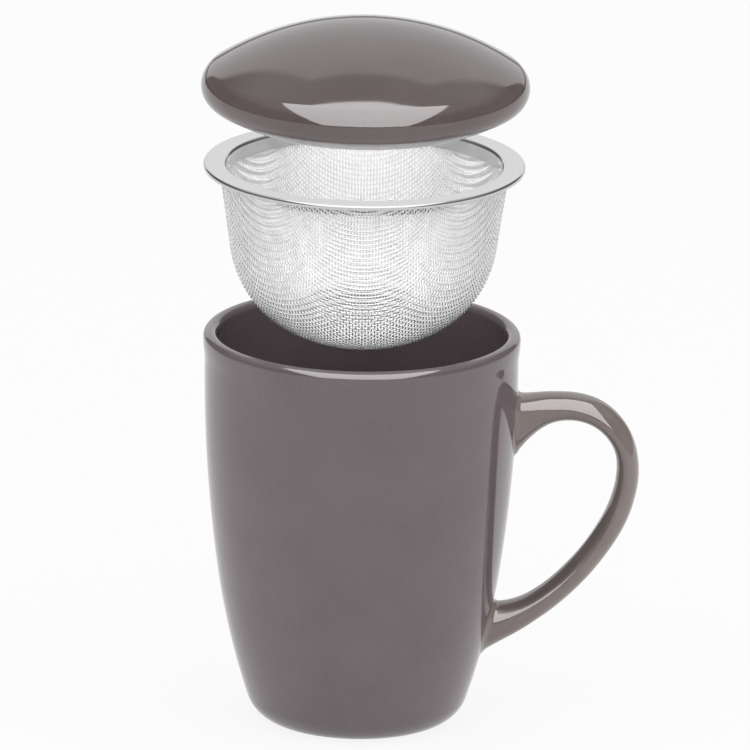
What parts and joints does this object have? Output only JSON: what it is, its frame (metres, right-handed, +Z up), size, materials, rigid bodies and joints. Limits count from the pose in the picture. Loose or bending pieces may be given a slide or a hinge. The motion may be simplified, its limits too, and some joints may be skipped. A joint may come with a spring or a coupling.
{
  "type": "lidded tea mug with infuser",
  "caption": "Tall round-based mug with a looped handle, a wire mesh infuser basket on a steel flange, and a lens-shaped lift-off lid raised above it",
  "frame": {"origin": "on the table plane, under the axis of the mug, at the centre of its foot ring", "axes": "+Z up along the axis of the mug, infuser and lid; +X towards the handle"},
  "size_m": [0.1188, 0.088, 0.193],
  "materials": {
    "mug_glaze": "gloss",
    "handle_glaze": "gloss",
    "lid_glaze": "gloss",
    "pressed_steel": "polished",
    "wire_cloth": "woven"
  },
  "bodies": {
    "mug": {"mug_body": "mug_glaze", "mug_handle": "handle_glaze"},
    "infuser": {"infuser_rim": "pressed_steel", "infuser_basket": "wire_cloth"},
    "lid": {"lid": "lid_glaze"}
  },
  "joints": [
    {"name": "infuser_lift", "type": "slide", "parent": "mug", "child": "infuser", "axis": [0, 0, 1], "range_m": [-0.04575, 0.01]},
    {"name": "lid_lift", "type": "slide", "parent": "infuser", "child": "lid", "axis": [0, 0, 1], "range_m": [-0.0144, 0.01]}
  ]
}
